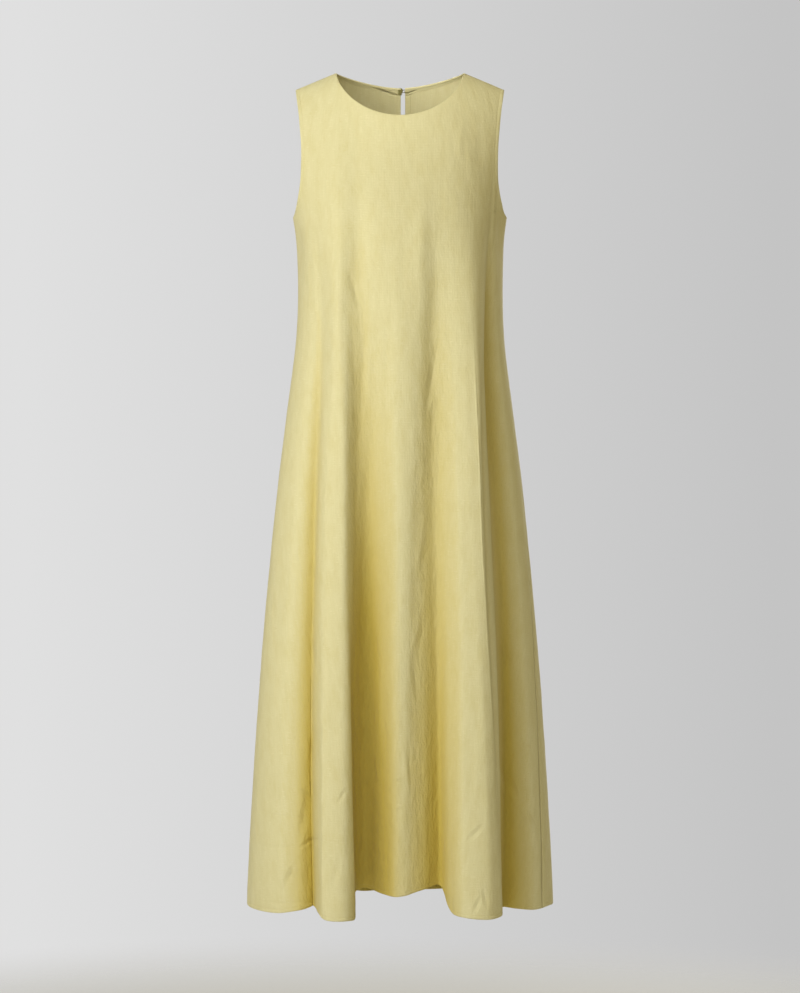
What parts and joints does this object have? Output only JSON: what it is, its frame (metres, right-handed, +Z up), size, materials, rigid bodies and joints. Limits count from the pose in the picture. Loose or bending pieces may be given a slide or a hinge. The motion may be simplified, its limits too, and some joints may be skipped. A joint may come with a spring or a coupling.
{
  "type": "a-line dress",
  "caption": "Long sleeveless A-line dress with a round neck, plain panels that flare into soft folds, and a buttoned slit at the back of the neck.",
  "frame": {"origin": "midway between the two points where the shoulder seams meet the neck, at shoulder height", "axes": "+Z up, the front of the dress faces -Y, +X is the wearer's left"},
  "size_m": [0.4623, 0.323, 1.2571],
  "materials": {
    "linen": "plain woven linen, pale yellow, dull",
    "button": "small round button in a darker yellow green",
    "cord": "thin twisted cord"
  },
  "bodies": {
    "root": {"front": "linen", "back": "linen", "neck_facing_front": "linen", "neck_facing_back_left": "linen", "neck_facing_back_right": "linen", "slit_facing": "linen", "button": "button", "button_loop": "cord"}
  },
  "joints": []
}
